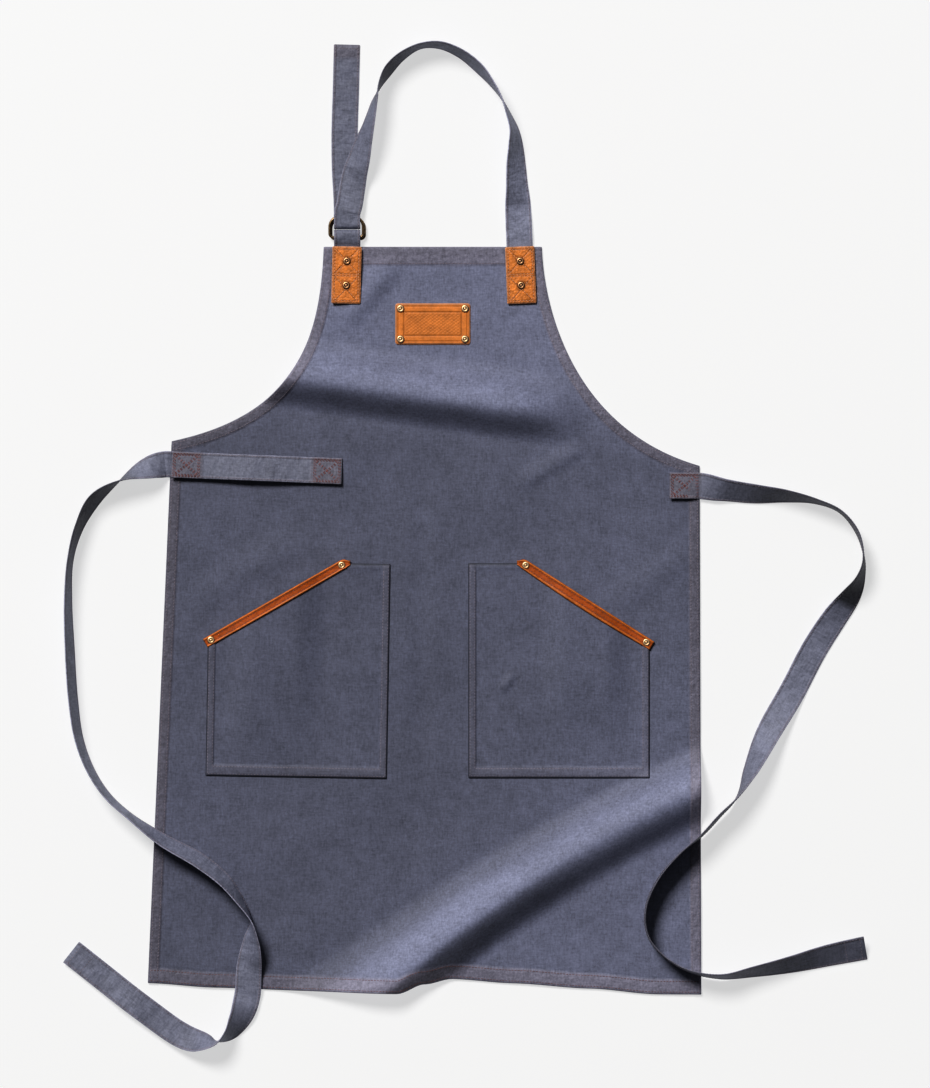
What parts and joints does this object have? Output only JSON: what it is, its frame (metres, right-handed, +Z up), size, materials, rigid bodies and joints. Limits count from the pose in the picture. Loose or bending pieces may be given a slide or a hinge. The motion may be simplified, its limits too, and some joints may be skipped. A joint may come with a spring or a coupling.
{
  "type": "grill apron",
  "caption": "Bib apron of canvas with leather tabs, badge and pocket trims, lying front up with its neck strap and waist ties loose.",
  "frame": {"origin": "centre of the bottom of the bounding box, on the surface that the apron lies on", "axes": "+Z up from the surface, out of the apron's front; +Y from its lower edge towards its neck strap; +X to the right as it is seen from the front"},
  "size_m": [0.9806, 1.2308, 0.0348],
  "materials": {
    "canvas": "matt blue grey cotton canvas with a faded weave",
    "strap_canvas": "matt blue grey doubled canvas with stitched edges",
    "leather": "tan leather, half matt, with paler edges",
    "brass": "brushed old brass rivet heads",
    "aged_brass": "dark antique brass"
  },
  "bodies": {
    "root": {"apron_body": "canvas", "pocket_left": "canvas", "pocket_right": "canvas", "towel_loop": "strap_canvas", "waist_tie_left": "strap_canvas", "waist_tie_right": "strap_canvas", "neck_strap": "strap_canvas", "buckle_anchor": "strap_canvas", "badge": "leather", "strap_tab_left": "leather", "strap_tab_right": "leather", "pocket_trim_left": "leather", "pocket_trim_right": "leather", "badge_rivet_left_top": "brass", "badge_rivet_left_low": "brass", "badge_rivet_right_top": "brass", "badge_rivet_right_low": "brass", "tab_rivet_left_top": "brass", "tab_rivet_left_low": "brass", "tab_rivet_right_top": "brass", "tab_rivet_right_low": "brass", "pocket_rivet_left_in": "brass", "pocket_rivet_left_out": "brass", "pocket_rivet_right_in": "brass", "pocket_rivet_right_out": "brass", "ring_lower": "aged_brass", "ring_upper": "aged_brass"}
  },
  "joints": []
}
